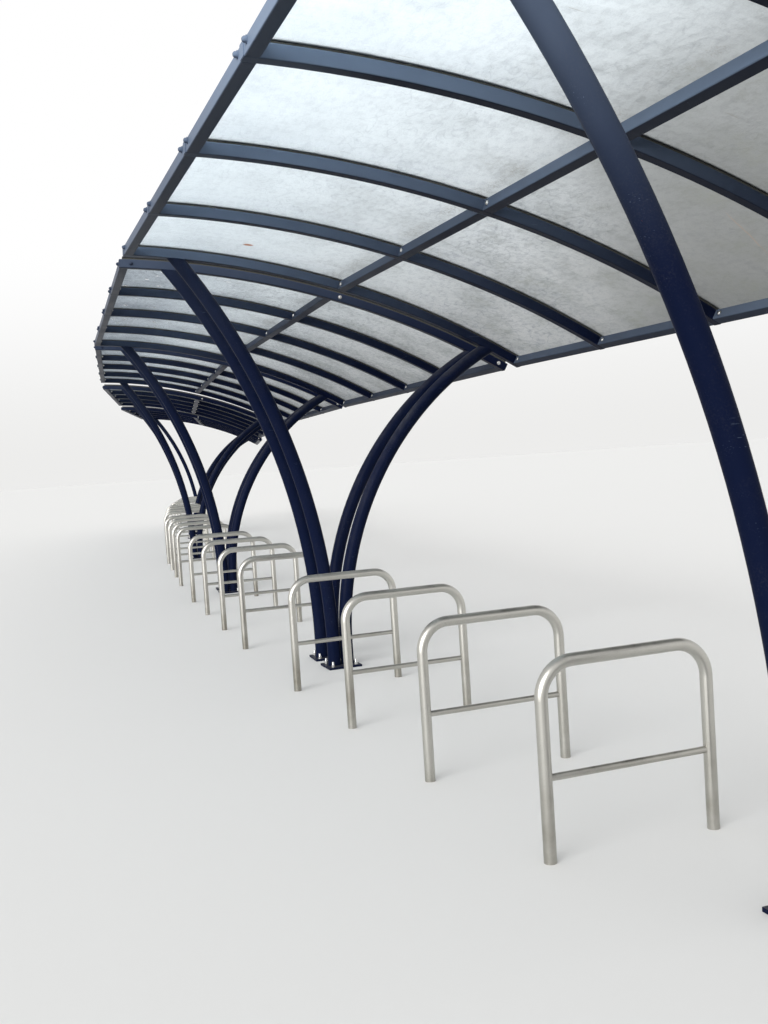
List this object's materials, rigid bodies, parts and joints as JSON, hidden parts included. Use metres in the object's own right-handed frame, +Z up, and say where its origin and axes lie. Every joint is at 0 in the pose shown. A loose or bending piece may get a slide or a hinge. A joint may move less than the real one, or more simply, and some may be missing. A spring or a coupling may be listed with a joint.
{
  "type": "bike shelter",
  "caption": "Row of arched translucent bike shelter roofs on dark blue V shaped tube frames, turning gently, with hoop stands beneath",
  "frame": {"origin": "on the ground at the foot of the near end post frame, in the middle of its base plate", "axes": "+X across the row from the open front to the back, +Y along the row away from the near end, +Z up"},
  "size_m": [5.6596, 25.7195, 3.0034],
  "materials": {
    "navy_paint": "gloss dark blue paint on steel tube and box section",
    "roof_sheet": "translucent sheet, weathered and dirty",
    "seal_rubber": "black rubber strip under the sheets",
    "trim_paint": "grey cover strips",
    "stand_steel": "dull brushed tube"
  },
  "bodies": {
    "root": {"near_frame_1": "navy_paint", "near_frame_2": "navy_paint", "near_frame_3": "navy_paint", "near_frame_4": "navy_paint", "near_frame_5": "navy_paint", "far_frame_1": "navy_paint", "far_frame_2": "navy_paint", "far_frame_3": "navy_paint", "far_frame_4": "navy_paint", "far_frame_5": "navy_paint", "end_rafters_1": "navy_paint", "end_rafters_2": "navy_paint", "end_rafters_3": "navy_paint", "end_rafters_4": "navy_paint", "end_rafters_5": "navy_paint", "mid_rafters_1": "navy_paint", "mid_rafters_2": "navy_paint", "mid_rafters_3": "navy_paint", "mid_rafters_4": "navy_paint", "mid_rafters_5": "navy_paint", "purlins_1": "navy_paint", "purlins_2": "navy_paint", "purlins_3": "navy_paint", "purlins_4": "navy_paint", "purlins_5": "navy_paint", "roof_seals_1": "seal_rubber", "roof_seals_2": "seal_rubber", "roof_seals_3": "seal_rubber", "roof_seals_4": "seal_rubber", "roof_seals_5": "seal_rubber", "roof_sheets_1": "roof_sheet", "roof_sheets_2": "roof_sheet", "roof_sheets_3": "roof_sheet", "roof_sheets_4": "roof_sheet", "roof_sheets_5": "roof_sheet", "cover_strips_1": "trim_paint", "cover_strips_2": "trim_paint", "cover_strips_3": "trim_paint", "cover_strips_4": "trim_paint", "cover_strips_5": "trim_paint", "hoop_stands_1": "stand_steel", "hoop_stands_2": "stand_steel", "hoop_stands_3": "stand_steel", "hoop_stands_4": "stand_steel", "hoop_stands_5": "stand_steel"}
  },
  "joints": []
}
